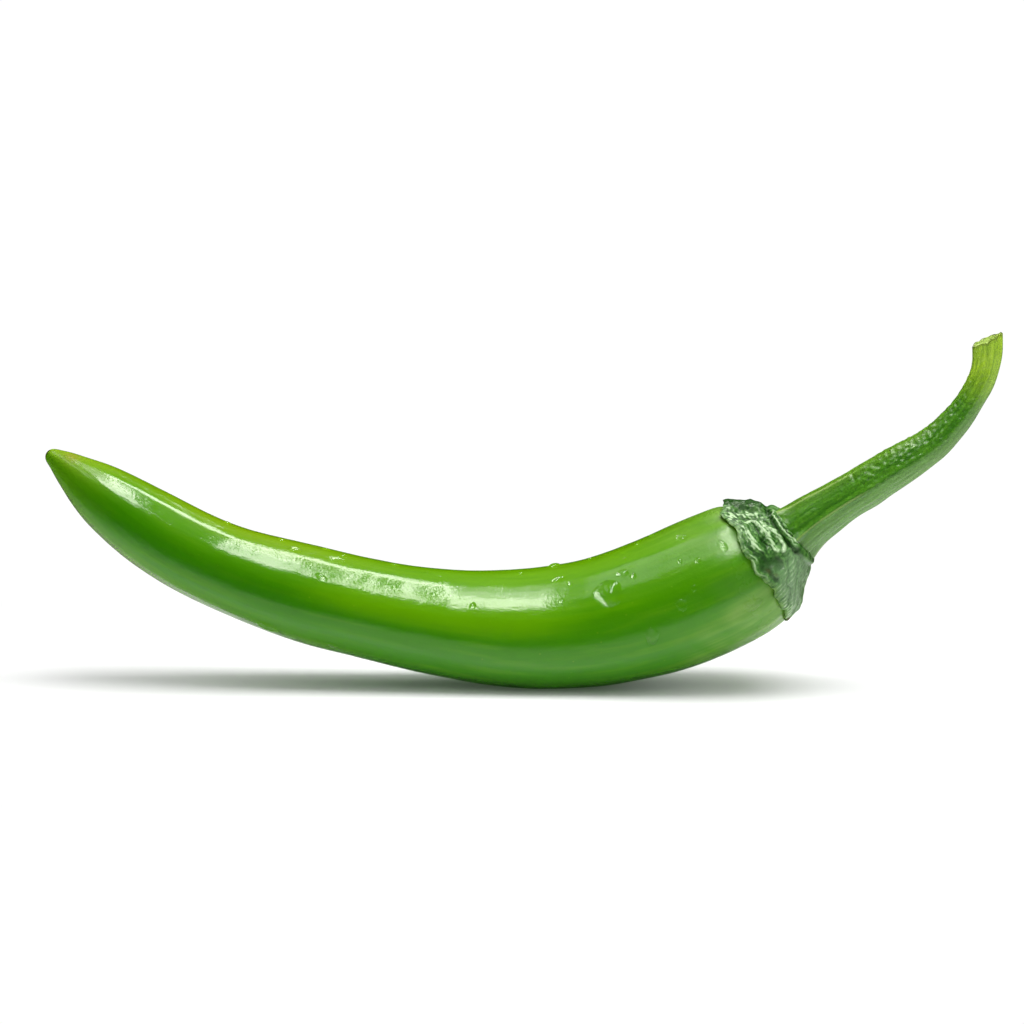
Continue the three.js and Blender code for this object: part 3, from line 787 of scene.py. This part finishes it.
# ------------------------------------------------------------------ camera, floor, light
def make_stage():
    cam_data = bpy.data.cameras.new("camera")
    cam_data.lens, cam_data.sensor_width = 100, 36
    cam_data.clip_start, cam_data.clip_end = 0.01, 50
    cam = bpy.data.objects.new("camera", cam_data)
    bpy.context.collection.objects.link(cam)
    tilt = math.radians(9.0)
    target = Vector((-4.241, 0, 26.44)) * MM
    look = Vector((0, math.cos(tilt), -math.sin(tilt)))
    cam.location = target - look * 0.426667
    cam.rotation_euler = look.to_track_quat("-Z", "Y").to_euler()
    bpy.context.scene.camera = cam

    me = bpy.data.meshes.new("floor")
    q = 6.0
    me.from_pydata([(-q, -q, 0), (q, -q, 0), (q, q, 0), (-q, q, 0)], [], [(0, 1, 2, 3)])
    floor = bpy.data.objects.new("floor", me)
    bpy.context.collection.objects.link(floor)
    m = bpy.data.materials.new("floor_white")
    m.use_nodes = True
    t = m.node_tree
    t.nodes.clear()
    g = Nodes(t)
    out = t.nodes.new("ShaderNodeOutputMaterial")
    mixer = t.nodes.new("ShaderNodeMixShader")
    paper = t.nodes.new("ShaderNodeBsdfDiffuse")
    paper.inputs[0].default_value = (0.86, 0.86, 0.86, 1)
    glow = t.nodes.new("ShaderNodeEmission")
    glow.inputs[1].default_value = 1.02
    pos = t.nodes.new("ShaderNodeNewGeometry").outputs["Position"]
    length = t.nodes.new("ShaderNodeVectorMath")
    length.operation = "LENGTH"
    t.links.new(g.stretch(pos, 1 / 0.135, 1 / 0.062, 1), length.inputs[0])
    far = g.span(length.outputs["Value"], 0.75, 1.25)
    path = t.nodes.new("ShaderNodeLightPath")
    where = t.nodes.new("ShaderNodeSeparateXYZ")
    t.links.new(pos, where.inputs[0])
    # painted light: camera rays also see some of the glow over the shadow itself, lifting it by 3.5 per cent and by 16
    # per cent beyond x = 26 mm
    far = g.math("MAXIMUM", far, g.span(where.outputs[0], 0.006, 0.026, 0.035, 0.16))
    fac = g.math("MULTIPLY", far, path.outputs["Is Camera Ray"])
    t.links.new(fac, mixer.inputs[0])
    t.links.new(paper.outputs[0], mixer.inputs[1])
    t.links.new(glow.outputs[0], mixer.inputs[2])
    # a little extra light thrown back up, and mirror rays that miss the shadow see the studio's own gradient
    lift = t.nodes.new("ShaderNodeAddShader")
    warm = t.nodes.new("ShaderNodeEmission")
    t.links.new(g.math("MULTIPLY", path.outputs["Is Diffuse Ray"], 0.22), warm.inputs[1])
    t.links.new(mixer.outputs[0], lift.inputs[0])
    t.links.new(warm.outputs[0], lift.inputs[1])
    clear = t.nodes.new("ShaderNodeBsdfTransparent")
    passer = t.nodes.new("ShaderNodeMixShader")
    sep = t.nodes.new("ShaderNodeSeparateXYZ")
    t.links.new(pos, sep.inputs[0])
    front = g.span(sep.outputs[1], -0.009, -0.016)
    outside = g.math("MAXIMUM", front, g.span(length.outputs["Value"], 0.45, 0.7))
    t.links.new(g.math("MULTIPLY", outside, path.outputs["Is Glossy Ray"]), passer.inputs[0])
    t.links.new(lift.outputs[0], passer.inputs[1])
    t.links.new(clear.outputs[0], passer.inputs[2])
    t.links.new(passer.outputs[0], out.inputs[0])
    me.materials.append(m)

    def soft_box(name, low, high, height, radiance, diffuse, glossy, turn=0.0):
        """A level panel over the pepper, from corner low to corner high in X and Y, mm."""
        data = bpy.data.lights.new(name, "AREA")
        data.shape = "RECTANGLE"
        data.size, data.size_y = (high[0] - low[0]) * MM, (high[1] - low[1]) * MM
        data.energy = radiance * data.size * data.size_y * math.pi
        data.color = (1.0, 1.0, 1.0) if diffuse else (1.0, 0.98, 0.91)
        ob = bpy.data.objects.new(name, data)
        bpy.context.collection.objects.link(ob)
        ob.location = Vector(((low[0] + high[0]) / 2, (low[1] + high[1]) / 2, height)) * MM
        ob.rotation_euler = (0, 0, math.radians(turn))
        ob.visible_camera, ob.visible_diffuse, ob.visible_glossy = False, diffuse, glossy
        return ob

    soft_box("key", (-95, -130), (305, 70), 400, 6.2, True, False)
    soft_box("panel_right", (30, 48), (130, 196), 401, 11.5, False, True, -33)
    soft_box("panel_join", (14, 62), (46, 150), 401, 13.0, False, True, -5)
    soft_box("panel_middle", (-14, -112), (18, 75), 401.2, 14.5, False, True, -5.2)
    soft_box("panel_corner", (-33, -285), (9, -95), 402.5, 12.5, False, True, -2)
    soft_box("panel_front", (-80, -290), (-34, -100), 402, 9.5, False, True)
    soft_box("panel_front_rim", (-88, -330), (-30, -35), 401.5, 4.5, False, True)
    soft_box("panel_front_glow", (-90, -70), (4, 70), 400.5, 2.2, False, True)
    soft_box("panel_left", (-215, -230), (-138, 90), 402, 1.8, False, True)

    world = bpy.data.worlds.new("studio")
    bpy.context.scene.world = world
    world.use_nodes = True
    t = world.node_tree
    t.nodes.clear()
    g = Nodes(t)
    out = t.nodes.new("ShaderNodeOutputWorld")
    coord = t.nodes.new("ShaderNodeTexCoord")
    sep = t.nodes.new("ShaderNodeSeparateXYZ")
    t.links.new(coord.outputs["Generated"], sep.inputs[0])
    z = sep.outputs[2]
    lean = g.math("SUBTRACT", z, g.math("MULTIPLY", g.math("MAXIMUM", sep.outputs[0], 0.0), 0.20))
    path = t.nodes.new("ShaderNodeLightPath")

    def colour_ramp(height, stops, warm=1.0):
        n = t.nodes.new("ShaderNodeValToRGB")
        t.links.new(g.span(height, -1, 1, 0, 1, False), n.inputs[0])
        el = n.color_ramp.elements
        while len(el) < len(stops):
            el.new(0.5)
        for e, (deg, v) in zip(el, stops):
            e.position = (math.sin(math.radians(deg)) + 1) / 2
            e.color = (v, v, v * warm, 1)
        return n.outputs[0]

    gloss = colour_ramp(lean, [(-90, 0.92), (-40, 0.90), (-31, 0.62), (-22, 0.18), (-14, 0.0), (25, 0.0), (45, 0.10), (90, 0.35)], 0.84)
    soft = colour_ramp(z, [(-90, 0.8), (-10, 0.5), (0, 0.12), (30, 0.16), (46, 0.65), (62, 1.5), (90, 1.7)])
    col = g.mix(path.outputs["Is Glossy Ray"], soft, gloss)
    col = g.mix(path.outputs["Is Camera Ray"], col, (1.02, 1.02, 1.02))
    bg = t.nodes.new("ShaderNodeBackground")
    t.links.new(col, bg.inputs[0])
    t.links.new(bg.outputs[0], out.inputs[0])
    view = bpy.context.scene.view_settings
    view.view_transform = "Standard"
    view.look = "None"


make_stage()

pod = make_pod()
calyx = make_calyx()
stem = make_stem()
for ob, node, slot in ((pod, "pod", "pod_skin"), (calyx, "calyx", "calyx_green"), (stem, "stem", "stem_green")):
    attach(ob, "root")
    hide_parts(node)

drops = make_drops()
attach(drops, "root")
